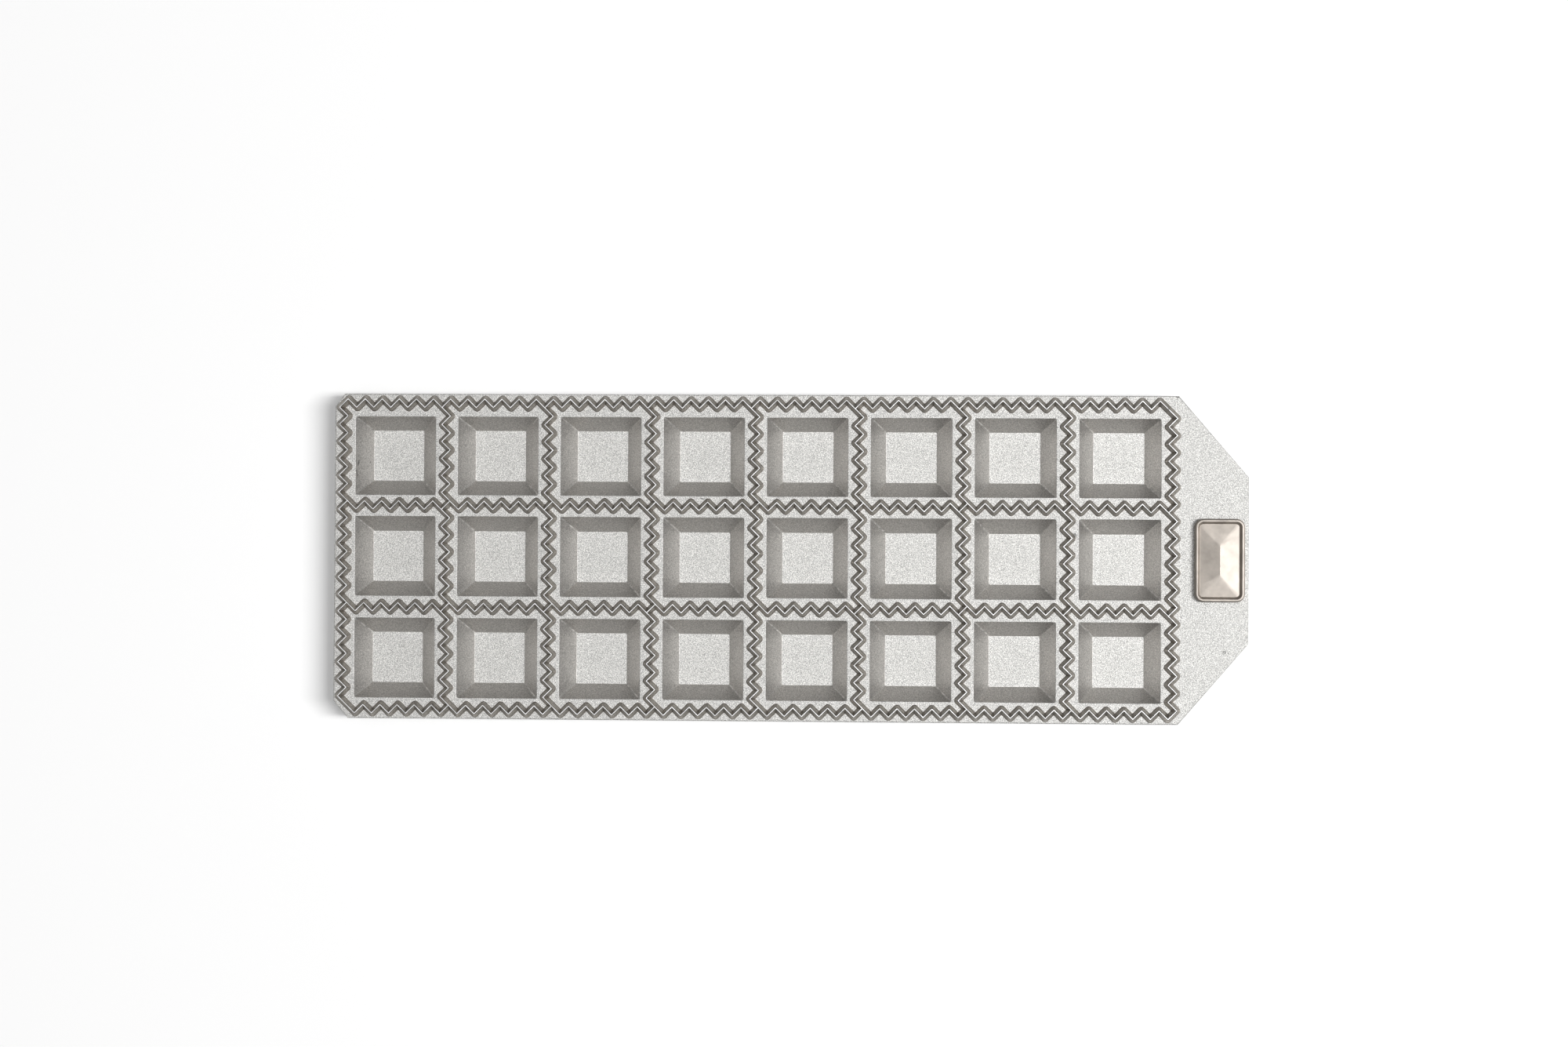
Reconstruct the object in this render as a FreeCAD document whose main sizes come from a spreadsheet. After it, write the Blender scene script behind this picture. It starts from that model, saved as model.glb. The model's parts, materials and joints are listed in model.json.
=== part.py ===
"""Ravioli mould: a die-cast aluminium tablet with 24 square pockets fenced by zigzag cutting ridges.

One casting carries everything: a drafted skirt open below, the pocket cups hanging inside it, the ridge
lattice on top and a tapered handle end. A blank chromed plate is pinned to the handle and four rubber
feet are plugged into bosses at the corners of the underside.

Millimetres. X runs along the tablet to the handle end, Y across it, Z up. The origin is the middle of
the whole part in X and Y, on the surface that the feet stand on.
"""

import FreeCAD, Part
import math
import os

import Sketcher

Vector = FreeCAD.Vector

SIZES = {
    # the grid of cells, measured along the centre lines of the ridges
    "columns": 8,
    "rows": 3,
    "pitch_length": 36.5,
    "pitch_width": 36.0,
    # the zigzag ridges
    "teeth": 6,
    "ridge_height": 2.0,
    "ridge_width": 2.45,
    "crest_width": 0.3,
    "ridge_root": 0.5,
    "corner_facets": 2,
    # the outline of the top face
    "edge_margin": 3.45,
    "shoulder_margin": 2.1,
    "handle_length": 24.4,
    "handle_width": 58.2,
    "rear_corner_length": 3.4,
    "rear_corner_width": 4.5,
    "front_corner_length": 5.2,
    "front_corner_width": 6.0,
    # the casting
    "skirt_height": 13.5,
    "skirt_draft": 1.5,
    "casting_wall": 3.0,
    "edge_round": 0.5,
    "mouth_length": 28.65,
    "mouth_width": 28.25,
    "floor_length": 17.95,
    "floor_width": 17.95,
    "pocket_depth": 7.0,
    "cup_wall": 2.3,
    "cup_floor": 2.5,
    "rib_thickness": 2.0,
    "rib_depth": 6.0,
    # the rubber feet
    "foot_inset": 4.0,
    "foot_diameter": 10.0,
    "foot_height": 2.0,
    "foot_boss_wall": 3.0,
    "stem_diameter": 4.8,
    "stem_length": 5.0,
    "stem_clearance": 0.1,
    # the blank plate on the handle
    "badge_setback": 10.2,
    "badge_length": 17.4,
    "badge_width": 29.1,
    "badge_height": 2.6,
    "badge_corner": 3.0,
    "badge_bevel": 0.7,
    "badge_rim": 2.0,
    "badge_recess": 0.6,
    "pin_spacing": 16.0,
    "pin_diameter": 3.0,
    "pin_length": 5.0,
    "pin_clearance": 0.1,
    "pin_boss_wall": 2.5,
    "pin_floor": 1.5,
}

# places on the casting, as formulas of the sizes
GRID_LENGTH = "(Sizes.columns * Sizes.pitch_length)"
GRID_WIDTH = "(Sizes.rows * Sizes.pitch_width)"
TOP_LENGTH = f"(Sizes.edge_margin + {GRID_LENGTH} + Sizes.shoulder_margin + Sizes.handle_length)"
LEFT_EDGE = f"(-{TOP_LENGTH} / 2)"
RIGHT_EDGE = f"({TOP_LENGTH} / 2)"
SIDE_EDGE = f"({GRID_WIDTH} / 2 + Sizes.edge_margin)"
SHOULDER = f"({RIGHT_EDGE} - Sizes.handle_length)"
GRID_LEFT = f"({LEFT_EDGE} + Sizes.edge_margin)"
GRID_FRONT = f"(-{GRID_WIDTH} / 2)"
FIRST_CELL_X = f"({GRID_LEFT} + Sizes.pitch_length / 2)"
FIRST_CELL_Y = f"({GRID_FRONT} + Sizes.pitch_width / 2)"
RIM_LEVEL = "Sizes.foot_height"
TOP_LEVEL = f"({RIM_LEVEL} + Sizes.skirt_height)"
MID_WALL_LEVEL = f"({TOP_LEVEL} - Sizes.casting_wall / 2)"
RIB_LEVEL = f"({TOP_LEVEL} - Sizes.casting_wall - Sizes.rib_depth)"
LENGTH_SLOPE = "((Sizes.mouth_length - Sizes.floor_length) / 2 / Sizes.pocket_depth)"
WIDTH_SLOPE = "((Sizes.mouth_width - Sizes.floor_width) / 2 / Sizes.pocket_depth)"
BADGE_X = f"({RIGHT_EDGE} - Sizes.badge_setback)"
PIN_HOLE_DEPTH = "(Sizes.pin_length + Sizes.pin_clearance)"
STEM_HOLE_DEPTH = "(Sizes.stem_length + Sizes.stem_clearance)"
FOOT_LEFT_X = f"({GRID_LEFT} + Sizes.foot_inset)"
FOOT_RIGHT_X = f"({GRID_LEFT} + {GRID_LENGTH} - Sizes.foot_inset)"
FOOT_SIDE_Y = f"({GRID_WIDTH} / 2 - Sizes.foot_inset)"

doc = FreeCAD.newDocument("RavioliMould")


def make_sheet():
    sheet = doc.addObject("Spreadsheet::Sheet", "Sizes")
    for row, (alias, value) in enumerate(SIZES.items(), start=1):
        sheet.set(f"A{row}", alias)
        sheet.set(f"B{row}", str(value))
        sheet.setAlias(f"B{row}", alias)
    doc.recompute()
    return sheet


def make_body(label):
    body = doc.addObject("PartDesign::Body", label)
    body.Label = label
    return body


def origin_feature(body, role):
    return next(item for item in body.Origin.OriginFeatures if item.Role == role)


def new_sketch(body, name, level, role="XY_Plane"):
    """An empty sketch on one of the body's own origin planes, raised to a level."""
    sketch = body.newObject("Sketcher::SketchObject", name)
    sketch.AttachmentSupport = [(origin_feature(body, role), "")]
    sketch.MapMode = "FlatFace"
    sketch.setExpression("AttachmentOffset.Base.z", level)
    return sketch


def bind(sketch, kind, geometry, point, formula):
    """Fix one coordinate of a point of the sketch to a formula, measured from the sketch's origin."""
    index = sketch.addConstraint(Sketcher.Constraint(kind, -1, 1, geometry, point, 1.0))
    sketch.setExpression(f"Constraints[{index}]", formula)


def draw_polygon(sketch, corners):
    """A closed polygon whose corners are pairs of formulas, in order round the outline."""
    count = len(corners)
    first = sketch.GeometryCount
    start = [
        Vector(math.cos(2 * math.pi * k / count), math.sin(2 * math.pi * k / count), 0)
        for k in range(count)
    ]
    for k in range(count):
        sketch.addGeometry(Part.LineSegment(start[k], start[(k + 1) % count]), False)
    for k, (x, y) in enumerate(corners):
        following = first + (k - 1) % count
        sketch.addConstraint(Sketcher.Constraint("Coincident", following, 2, first + k, 1))
        bind(sketch, "DistanceX", first + k, 1, x)
        bind(sketch, "DistanceY", first + k, 1, y)


def draw_rectangle(sketch, centre_x, centre_y, length, width):
    left = f"{centre_x} - {length} / 2"
    right = f"{centre_x} + {length} / 2"
    front = f"{centre_y} - {width} / 2"
    rear = f"{centre_y} + {width} / 2"
    draw_polygon(sketch, [(left, front), (right, front), (right, rear), (left, rear)])


def draw_circle(sketch, centre_x, centre_y, diameter):
    index = sketch.addGeometry(Part.Circle(Vector(0, 0, 0), Vector(0, 0, 1), 1.0), False)
    bind(sketch, "DistanceX", index, 3, centre_x)
    bind(sketch, "DistanceY", index, 3, centre_y)
    size = sketch.addConstraint(Sketcher.Constraint("Diameter", index, 2.0))
    sketch.setExpression(f"Constraints[{size}]", diameter)


def extrude(body, kind, name, sketch, length, downward):
    """A Pad or Pocket of a sketch, given upward or downward in the part's frame."""
    feature = body.newObject(f"PartDesign::{kind}", name)
    feature.Profile = sketch
    feature.setExpression("Length", length)
    feature.Reversed = downward if kind == "Pad" else not downward
    return feature


def add_wedge(body, kind, name, place, height, low, high):
    """A frustum with an upright axis: the middle of its lower face, and its lower and upper sizes.

    The wedge's own Y axis is its height, so it is turned to stand up.
    """
    wedge = body.newObject(f"PartDesign::{kind}Wedge", name)
    wedge.AttachmentSupport = [(origin_feature(body, "XY_Plane"), "")]
    wedge.MapMode = "FlatFace"
    wedge.AttachmentOffset = FreeCAD.Placement(Vector(), FreeCAD.Rotation(Vector(1, 0, 0), 90))
    for axis, formula in zip("xyz", place):
        wedge.setExpression(f"AttachmentOffset.Base.{axis}", formula)
    wedge.setExpression("Ymin", "0")
    wedge.setExpression("Ymax", height)
    for prefix, (length, width) in (("", low), ("2", high)):
        wedge.setExpression(f"X{prefix}min", f"-{length} / 2")
        wedge.setExpression(f"X{prefix}max", f"{length} / 2")
        wedge.setExpression(f"Z{prefix}min", f"-{width} / 2")
        wedge.setExpression(f"Z{prefix}max", f"{width} / 2")
    return wedge


def repeat(body, name, feature, role, length, count, second=None):
    """A linear pattern of a feature along one axis of the body, or along two."""
    pattern = body.newObject("PartDesign::LinearPattern", name)
    pattern.Originals = [feature]
    pattern.Direction = (origin_feature(body, role), [""])
    pattern.setExpression("Length", length)
    pattern.setExpression("Occurrences", count)
    if second:
        second_role, second_length, second_count = second
        pattern.Direction2 = (origin_feature(body, second_role), [""])
        pattern.setExpression("Length2", second_length)
        pattern.setExpression("Occurrences2", second_count)
    body.Tip = pattern
    return pattern


def edges_at(shape, level):
    """The names of a shape's edges that lie flat at one level."""
    names = []
    for number, edge in enumerate(shape.Edges, start=1):
        box = edge.BoundBox
        if abs(box.ZMin - level) < 1e-6 and abs(box.ZMax - level) < 1e-6:
            names.append(f"Edge{number}")
    return names


def side_faces(shape):
    """The names of a prism's upright faces."""
    height = shape.BoundBox.ZLength
    faces = enumerate(shape.Faces, start=1)
    return [f"Face{number}" for number, face in faces if face.BoundBox.ZLength > height / 2]


def face_at(shape, level):
    """The name of the one face of a shape that lies flat at a level."""
    for number, face in enumerate(shape.Faces, start=1):
        box = face.BoundBox
        if abs(box.ZMin - level) < 1e-6 and abs(box.ZMax - level) < 1e-6:
            return f"Face{number}"
    raise ValueError(f"no flat face at {level}")


def make_blank(body, size):
    """The drafted tray: the outline of the top face, its skirt, the hollow below and the rounded top edge."""
    sketch = new_sketch(body, "TopOutline", TOP_LEVEL)
    handle_side = "Sizes.handle_width / 2"
    draw_polygon(
        sketch,
        [
            (f"{LEFT_EDGE} + Sizes.front_corner_length", f"-{SIDE_EDGE}"),
            (SHOULDER, f"-{SIDE_EDGE}"),
            (RIGHT_EDGE, f"-{handle_side}"),
            (RIGHT_EDGE, handle_side),
            (SHOULDER, SIDE_EDGE),
            (f"{LEFT_EDGE} + Sizes.rear_corner_length", SIDE_EDGE),
            (LEFT_EDGE, f"{SIDE_EDGE} - Sizes.rear_corner_width"),
            (LEFT_EDGE, f"-{SIDE_EDGE} + Sizes.front_corner_width"),
        ],
    )
    blank = extrude(body, "Pad", "Blank", sketch, "Sizes.skirt_height", True)
    doc.recompute()

    top_level = size.foot_height + size.skirt_height
    draft = body.newObject("PartDesign::Draft", "SkirtDraft")
    draft.Base = (blank, side_faces(blank.Shape))
    draft.NeutralPlane = (blank, [face_at(blank.Shape, top_level)])
    draft.setExpression("Angle", "Sizes.skirt_draft")
    doc.recompute()

    hollow = body.newObject("PartDesign::Thickness", "Hollow")
    hollow.Base = (draft, [face_at(draft.Shape, size.foot_height)])
    hollow.setExpression("Value", "Sizes.casting_wall")
    hollow.Reversed = True
    hollow.Mode = "Skin"
    hollow.Join = "Intersection"
    doc.recompute()

    edge = body.newObject("PartDesign::Fillet", "TopEdge")
    edge.Base = (hollow, edges_at(hollow.Shape, top_level))
    edge.setExpression("Radius", "Sizes.edge_round")


def cup_outside(level):
    """The length and width of a cup at a level above its pocket's floor, a wall outside the pocket."""
    sizes = []
    for floor, slope in (("Sizes.floor_length", LENGTH_SLOPE), ("Sizes.floor_width", WIDTH_SLOPE)):
        wall = f"Sizes.cup_wall * sqrt(1 + {slope} * {slope})"
        sizes.append(f"({floor} + 2 * {wall} + 2 * {slope} * {level})")
    return tuple(sizes)


def make_cups(body):
    """The outside of the pockets, hanging below the plate and as steep as the pocket walls."""
    into_plate = "(Sizes.pocket_depth - Sizes.casting_wall / 2)"
    cup = add_wedge(
        body,
        "Additive",
        "Cup",
        (FIRST_CELL_X, FIRST_CELL_Y, f"({TOP_LEVEL} - Sizes.pocket_depth - Sizes.cup_floor)"),
        f"({into_plate} + Sizes.cup_floor)",
        cup_outside("(-Sizes.cup_floor)"),
        cup_outside(into_plate),
    )
    repeat_over_cells(body, "Cups", cup)


def repeat_over_cells(body, name, feature):
    across = ("Y_Axis", "Sizes.pitch_width * (Sizes.rows - 1)", "Sizes.rows")
    along = "Sizes.pitch_length * (Sizes.columns - 1)"
    repeat(body, name, feature, "X_Axis", along, "Sizes.columns", across)


def make_ribs(body):
    """Ribs between the rows, one across the shoulder and one along the handle."""
    into_wall = "Sizes.casting_wall / 2"
    height = f"{MID_WALL_LEVEL} - {RIB_LEVEL}"
    start = f"({LEFT_EDGE} + {into_wall})"
    cross_rib_x = f"({SHOULDER} - Sizes.rib_thickness / 2)"

    sketch = new_sketch(body, "RowRibOutline", RIB_LEVEL)
    draw_rectangle(
        sketch,
        f"({start} + {cross_rib_x}) / 2",
        f"({GRID_FRONT} + Sizes.pitch_width)",
        f"({cross_rib_x} - {start})",
        "Sizes.rib_thickness",
    )
    row_rib = extrude(body, "Pad", "RowRib", sketch, height, False)
    spread = "Sizes.pitch_width * (Sizes.rows - 2)"
    repeat(body, "RowRibs", row_rib, "Y_Axis", spread, "Sizes.rows - 1")

    sketch = new_sketch(body, "ShoulderRibOutline", RIB_LEVEL)
    draw_rectangle(
        sketch, cross_rib_x, "0", "Sizes.rib_thickness", f"(2 * ({SIDE_EDGE} - {into_wall}))"
    )
    extrude(body, "Pad", "ShoulderRib", sketch, height, False)

    sketch = new_sketch(body, "HandleRibOutline", RIB_LEVEL)
    end = f"({RIGHT_EDGE} - {into_wall})"
    draw_rectangle(
        sketch,
        f"({cross_rib_x} + {end}) / 2",
        "0",
        f"({end} - {cross_rib_x})",
        "Sizes.rib_thickness",
    )
    extrude(body, "Pad", "HandleRib", sketch, height, False)


def draw_at_feet(sketch, diameter):
    for x in (FOOT_LEFT_X, FOOT_RIGHT_X):
        for y in (f"-{FOOT_SIDE_Y}", FOOT_SIDE_Y):
            draw_circle(sketch, x, y, diameter)


def make_foot_seats(body):
    """A boss with a blind hole at each corner, flush with the rim of the skirt."""
    hole = "(Sizes.stem_diameter + 2 * Sizes.stem_clearance)"
    sketch = new_sketch(body, "FootBossOutline", RIM_LEVEL)
    draw_at_feet(sketch, f"({hole} + 2 * Sizes.foot_boss_wall)")
    extrude(body, "Pad", "FootBosses", sketch, f"{MID_WALL_LEVEL} - {RIM_LEVEL}", False)
    sketch = new_sketch(body, "FootHoleOutline", RIM_LEVEL)
    draw_at_feet(sketch, hole)
    extrude(body, "Pocket", "FootHoles", sketch, STEM_HOLE_DEPTH, False)


def draw_at_pins(sketch, diameter):
    for y in ("-Sizes.pin_spacing / 2", "Sizes.pin_spacing / 2"):
        draw_circle(sketch, BADGE_X, y, diameter)


def make_pin_seats(body):
    """Two bosses below the handle with blind holes from its top face, for the pins of the blank plate."""
    hole = "(Sizes.pin_diameter + 2 * Sizes.pin_clearance)"
    sketch = new_sketch(body, "PinBossOutline", MID_WALL_LEVEL)
    draw_at_pins(sketch, f"({hole} + 2 * Sizes.pin_boss_wall)")
    depth = f"{PIN_HOLE_DEPTH} + Sizes.pin_floor - Sizes.casting_wall / 2"
    extrude(body, "Pad", "PinBosses", sketch, depth, True)
    sketch = new_sketch(body, "PinHoleOutline", TOP_LEVEL)
    draw_at_pins(sketch, hole)
    extrude(body, "Pocket", "PinHoles", sketch, PIN_HOLE_DEPTH, True)


def make_pockets(body):
    """The square tapered pockets that the filling is pressed into."""
    pocket = add_wedge(
        body,
        "Subtractive",
        "Pocket",
        (FIRST_CELL_X, FIRST_CELL_Y, f"({TOP_LEVEL} - Sizes.pocket_depth)"),
        "Sizes.pocket_depth",
        ("Sizes.floor_length", "Sizes.floor_width"),
        ("Sizes.mouth_length", "Sizes.mouth_width"),
    )
    repeat_over_cells(body, "Pockets", pocket)


class RidgeLattice:
    """The zigzag ridges, as one closed shell of flat facets.

    The centre lines of the ridges run over a lattice of half teeth. Along a grid line the corners stand
    half a step to one side and half a step to the other, so that each run between two corners is a
    diagonal. Where two grid lines cross, their zigzags share one diagonal. A corner is a pair of
    lattice numbers. Each open area, a cell or the outside of the whole grid, has a ring of corners that
    is walked with the area on the left. The crest and the foot of a ridge are the ring moved towards
    that area. The crest keeps sharp corners, and the foot is rounded in a few facets at each corner
    that points into the area.
    """

    def __init__(self, size):
        self.steps = 2 * int(size.teeth)
        self.columns = int(size.columns)
        self.rows = int(size.rows)
        self.step_x = size.pitch_length / self.steps
        self.step_y = size.pitch_width / self.steps
        self.facets = int(size.corner_facets)
        slope = (size.ridge_width - size.crest_width) / 2 / size.ridge_height
        self.crest = (size.crest_width / 2, size.ridge_height, False)
        self.root = (size.ridge_width / 2 + slope * size.ridge_root, -size.ridge_root, True)
        cells = [self.ring(i, j, 1, 1) for i in range(self.columns) for j in range(self.rows)]
        outside = self.ring(0, 0, self.columns, self.rows)[::-1]
        self.rings = cells + [outside]
        self.after = {}
        self.before = {}
        for ring in self.rings:
            for k, here in enumerate(ring):
                ahead = ring[(k + 1) % len(ring)]
                self.after[ring[k - 1], here] = ahead
                self.before[here, ahead] = ring[k - 1]
        self.vertices = {}
        self.edges = {}

    def ring(self, column, row, wide, high):
        """The corners round a block of cells, counterclockwise."""
        left = column * self.steps
        front = row * self.steps
        right = left + wide * self.steps
        rear = front + high * self.steps

        def side(k):
            return 0.5 if k % 2 == 0 else -0.5

        along = range(wide * self.steps)
        across = range(high * self.steps)
        corners = [(left + k + 0.5, front + side(k)) for k in along]
        corners += [(right + side(k), front + k + 0.5) for k in across]
        corners += [(left + k + 0.5, rear + side(k)) for k in reversed(along)]
        corners += [(left + side(k), front + k + 0.5) for k in reversed(across)]
        return [here for last, here in zip([corners[-1]] + corners, corners) if here != last]

    def to_left(self, start, end):
        run = Vector((end[0] - start[0]) * self.step_x, (end[1] - start[1]) * self.step_y, 0)
        run.normalize()
        return Vector(-run.y, run.x, 0)

    def moved(self, last, here, ahead, place):
        """The points of one corner after the ring is moved to the left, at a level."""
        distance, level, rounded = place
        first = self.to_left(last, here)
        second = self.to_left(here, ahead)
        corner = Vector(here[0] * self.step_x, here[1] * self.step_y, level)
        turn = first.x * second.y - first.y * second.x
        if turn > -1e-9 or not rounded:
            return [corner + (first + second) * (distance / (1 + first.dot(second)))]
        angle = math.atan2(turn, first.dot(second))
        points = []
        for k in range(self.facets + 1):
            part = angle * k / self.facets
            across = Vector(
                first.x * math.cos(part) - first.y * math.sin(part),
                first.x * math.sin(part) + first.y * math.cos(part),
                0,
            )
            points.append(corner + across * distance)
        return points

    def vertex(self, point):
        key = (round(point.x, 6), round(point.y, 6), round(point.z, 6))
        if key not in self.vertices:
            self.vertices[key] = Part.Vertex(point)
        return key

    def edge(self, start, end):
        """The one edge between two points, shared by the faces on both sides of it."""
        key = tuple(sorted((self.vertex(start), self.vertex(end))))
        if key not in self.edges:
            self.edges[key] = Part.Edge(self.vertices[key[0]], self.vertices[key[1]])
        return self.edges[key]

    def face(self, points):
        """A flat face, turned so that its points run counterclockwise seen from outside."""
        ends = points[1:] + points[:1]
        face = Part.Face(Part.Wire([self.edge(start, end) for start, end in zip(points, ends)]))
        outward = Vector(0, 0, 0)
        for start, end in zip(points, ends):
            outward += start.cross(end)
        if face.normalAt(0, 0).dot(outward) < 0:
            face.reverse()
        return face

    def flanks(self, ring):
        """The sloping faces round one area: one along each run, and a fan at each rounded corner."""
        faces = []
        low = []
        high = []
        for k, here in enumerate(ring):
            ahead = ring[(k + 1) % len(ring)]
            low.append(self.moved(ring[k - 1], here, ahead, self.root))
            high += self.moved(ring[k - 1], here, ahead, self.crest)
        for k, corner in enumerate(low):
            faces.append(self.face([corner[0], low[k - 1][-1], high[k - 1], high[k]]))
            for start, end in zip(corner, corner[1:]):
                faces.append(self.face([end, start, high[k]]))
        return faces

    def stretches(self):
        """The corners in groups: those where ridges meet, and the runs of the ridges between them."""
        beside = {}
        for start, end in self.after:
            beside.setdefault(start, []).append(end)
        groups = []
        for meeting in (True, False):
            left = {corner for corner in beside if (len(beside[corner]) > 2) == meeting}
            while left:
                group = {left.pop()}
                edge = set(group)
                while edge:
                    edge = {end for start in edge for end in beside[start] if end in left}
                    left -= edge
                    group |= edge
                entry = next((out, end) for end in group for out in beside[end] if out not in group)
                groups.append((group, entry, not meeting))
        return groups

    def band(self, group, entry, reach, place):
        """The outline of a stretch of ridge at a level, up to its last corners or on to the meetings."""
        points = []
        start, here = entry
        while True:
            ahead = self.after[start, here]
            points += self.moved(start, here, ahead, place)
            if ahead in group:
                start, here = here, ahead
                continue
            if reach:
                points.append(self.moved(here, ahead, self.after[here, ahead], place)[0])
                points.append(self.moved(self.before[ahead, here], ahead, here, place)[-1])
            start = ahead
            if (start, here) == entry:
                return points

    def solid(self):
        faces = [face for ring in self.rings for face in self.flanks(ring)]
        for group, entry, reach in self.stretches():
            faces.append(self.face(self.band(group, entry, reach, self.crest)[::-1]))
            faces.append(self.face(self.band(group, entry, reach, self.root)))
        return Part.Solid(Part.Shell(faces))


def make_plate(size):
    """The casting: the drafted tray with its pockets, and the ridge lattice standing on its top face."""
    body = make_body("plate_body")
    make_blank(body, size)
    make_cups(body)
    make_ribs(body)
    make_foot_seats(body)
    make_pin_seats(body)
    make_pockets(body)

    lattice = doc.addObject("Part::Feature", "ridge_lattice")
    lattice.Shape = RidgeLattice(size).solid()
    lattice.setExpression("Placement.Base.x", GRID_LEFT)
    lattice.setExpression("Placement.Base.y", GRID_FRONT)
    lattice.setExpression("Placement.Base.z", TOP_LEVEL)

    plate = doc.addObject("Part::Fuse", "mould_plate")
    plate.Base = body
    plate.Tool = lattice
    plate.Refine = False
    return plate


def make_badge(size):
    """A blank plate with a raised rim and two pins, pinned to the top of the handle."""
    body = make_body("badge_plate")
    sketch = new_sketch(body, "BadgeOutline", TOP_LEVEL)
    draw_rectangle(sketch, BADGE_X, "0", "Sizes.badge_length", "Sizes.badge_width")
    slab = extrude(body, "Pad", "BadgeSlab", sketch, "Sizes.badge_height", False)
    doc.recompute()

    upright = []
    for number, edge in enumerate(slab.Shape.Edges, start=1):
        if edge.BoundBox.ZLength > size.badge_height / 2:
            upright.append(f"Edge{number}")
    corners = body.newObject("PartDesign::Fillet", "BadgeCorners")
    corners.Base = (slab, upright)
    corners.setExpression("Radius", "Sizes.badge_corner")
    doc.recompute()

    top = size.foot_height + size.skirt_height + size.badge_height
    edge = body.newObject("PartDesign::Chamfer", "BadgeEdge")
    edge.Base = (corners, edges_at(corners.Shape, top))
    edge.setExpression("Size", "Sizes.badge_bevel")

    sketch = new_sketch(body, "BadgeField", f"{TOP_LEVEL} + Sizes.badge_height")
    draw_rectangle(
        sketch,
        BADGE_X,
        "0",
        "(Sizes.badge_length - 2 * Sizes.badge_rim)",
        "(Sizes.badge_width - 2 * Sizes.badge_rim)",
    )
    extrude(body, "Pocket", "BadgeRecess", sketch, "Sizes.badge_recess", True)

    sketch = new_sketch(body, "PinOutline", TOP_LEVEL)
    draw_at_pins(sketch, "Sizes.pin_diameter")
    extrude(body, "Pad", "Pins", sketch, "Sizes.pin_length", True)
    return body


def make_foot(label, x, y):
    """A rubber foot: a disc below the rim of the skirt and a stem that plugs into the boss."""
    body = make_body(label)
    sketch = new_sketch(body, f"{label}_profile", "0", "XZ_Plane")
    radius = "Sizes.foot_diameter / 2"
    stem = "Sizes.stem_diameter / 2"
    top = "Sizes.foot_height + Sizes.stem_length"
    draw_polygon(
        sketch,
        [
            ("0", "0"),
            (radius, "0"),
            (radius, "Sizes.foot_height"),
            (stem, "Sizes.foot_height"),
            (stem, top),
            ("0", top),
        ],
    )
    turned = body.newObject("PartDesign::Revolution", f"{label}_turned")
    turned.Profile = sketch
    turned.ReferenceAxis = (sketch, ["V_Axis"])
    turned.Angle = 360
    body.setExpression("Placement.Base.x", x)
    body.setExpression("Placement.Base.y", y)
    return body


def check(pieces):
    """Stop if any object failed or any piece isn't one sound solid."""
    for item in doc.Objects:
        if "Invalid" in item.State or "Error" in item.State:
            raise RuntimeError(f"{item.Label} failed")
    for piece in pieces:
        if piece.Shape.isNull() or not piece.Shape.isValid() or len(piece.Shape.Solids) != 1:
            raise RuntimeError(f"{piece.Label} isn't one sound solid")


def main():
    size = make_sheet()
    pieces = [make_plate(size), make_badge(size)]
    for end, x in (("left", FOOT_LEFT_X), ("right", FOOT_RIGHT_X)):
        pieces.append(make_foot(f"foot_front_{end}", x, f"-{FOOT_SIDE_Y}"))
        pieces.append(make_foot(f"foot_rear_{end}", x, FOOT_SIDE_Y))
    doc.recompute()
    check(pieces)
    os.makedirs("parts", exist_ok=True)
    for piece in pieces:
        piece.Shape.exportStep(f"parts/{piece.Label}.step")
        print(piece.Label, round(piece.Shape.Volume, 1), len(piece.Shape.Faces))


main()
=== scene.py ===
"""Ravioli tablet: the finish of its casting, its blank plate and its feet, in a plain studio.

Metres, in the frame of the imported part: X along the tablet to its handle end, Y across it, Z up, with
the feet standing on the floor at zero.
"""

import json
import math

import bmesh
import bpy
import numpy as np
from bpy.props import FloatProperty, FloatVectorProperty, IntProperty, PointerProperty
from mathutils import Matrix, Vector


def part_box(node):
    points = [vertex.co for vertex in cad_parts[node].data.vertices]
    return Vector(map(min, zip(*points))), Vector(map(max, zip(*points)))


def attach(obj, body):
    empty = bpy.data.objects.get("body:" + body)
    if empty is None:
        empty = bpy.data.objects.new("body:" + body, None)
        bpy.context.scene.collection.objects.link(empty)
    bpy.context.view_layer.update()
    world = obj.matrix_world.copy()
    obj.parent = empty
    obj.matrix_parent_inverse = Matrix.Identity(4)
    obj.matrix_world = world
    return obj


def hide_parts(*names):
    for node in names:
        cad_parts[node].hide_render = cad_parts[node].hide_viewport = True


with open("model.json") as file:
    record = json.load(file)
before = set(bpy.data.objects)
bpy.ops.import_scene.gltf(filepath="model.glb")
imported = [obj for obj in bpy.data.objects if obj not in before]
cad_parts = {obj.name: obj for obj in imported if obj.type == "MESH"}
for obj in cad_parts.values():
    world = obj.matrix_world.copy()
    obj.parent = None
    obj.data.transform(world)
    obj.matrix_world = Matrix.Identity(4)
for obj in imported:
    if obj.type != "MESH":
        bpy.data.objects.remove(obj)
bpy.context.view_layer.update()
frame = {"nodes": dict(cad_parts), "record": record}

bl_info = {
    "name": "Ravioli tablet",
    "version": (1, 0, 0),
    "blender": (4, 5, 0),
    "location": "View3D > Sidebar > Tablet",
    "description": "Builds the zigzag ridges, pockets, plate and feet of a cast ravioli tablet",
    "category": "Add Mesh",
}

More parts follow.
